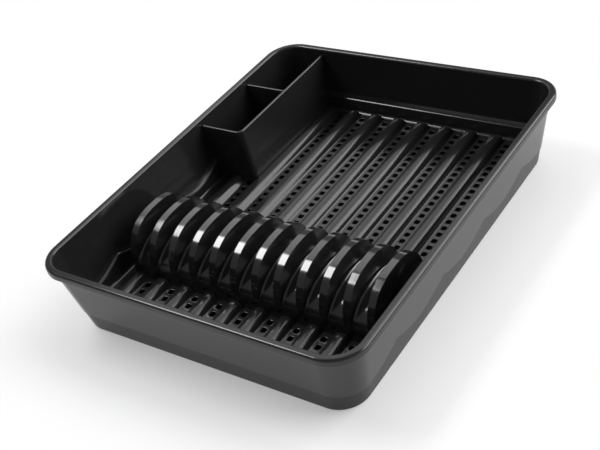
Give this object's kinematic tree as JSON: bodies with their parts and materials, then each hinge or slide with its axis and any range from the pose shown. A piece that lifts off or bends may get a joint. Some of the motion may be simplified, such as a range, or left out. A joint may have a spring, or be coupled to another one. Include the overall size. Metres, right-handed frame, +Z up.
{
  "type": "dish drying rack",
  "caption": "Rectangular dish drying rack: a ribbed, perforated basin with a slotted domed plate rack and an L-shaped cutlery divider, nested in a shallow drip tray.",
  "frame": {"origin": "middle of the footprint, on the surface the foot pads stand on", "axes": "+Z up, +Y from the plate rack at the front to the cutlery corner at the back, +X to the right, across the short side"},
  "size_m": [0.38, 0.47, 0.087],
  "materials": {
    "basin_plastic": "satin to gloss black, fine moulded surface",
    "insert_plastic": "gloss black",
    "tray_plastic": "satin black",
    "pad_rubber": "matt black"
  },
  "bodies": {
    "tray": {"drip_tray": "tray_plastic", "foot_pad_front_left": "pad_rubber", "foot_pad_front_right": "pad_rubber", "foot_pad_back_left": "pad_rubber", "foot_pad_back_right": "pad_rubber"},
    "basin": {"rack_basin": "basin_plastic"},
    "plates": {"plate_rack": "insert_plastic"},
    "divider": {"cutlery_divider": "insert_plastic"}
  },
  "joints": [
    {"name": "basin_lift", "type": "slide", "parent": "tray", "child": "basin", "axis": [0, 0, 1], "range_m": [0, 0.1]},
    {"name": "plate_rack_lift", "type": "slide", "parent": "basin", "child": "plates", "axis": [0, 0, 1], "range_m": [0, 0.1]},
    {"name": "divider_lift", "type": "slide", "parent": "basin", "child": "divider", "axis": [0, 0, 1], "range_m": [0, 0.1]}
  ]
}
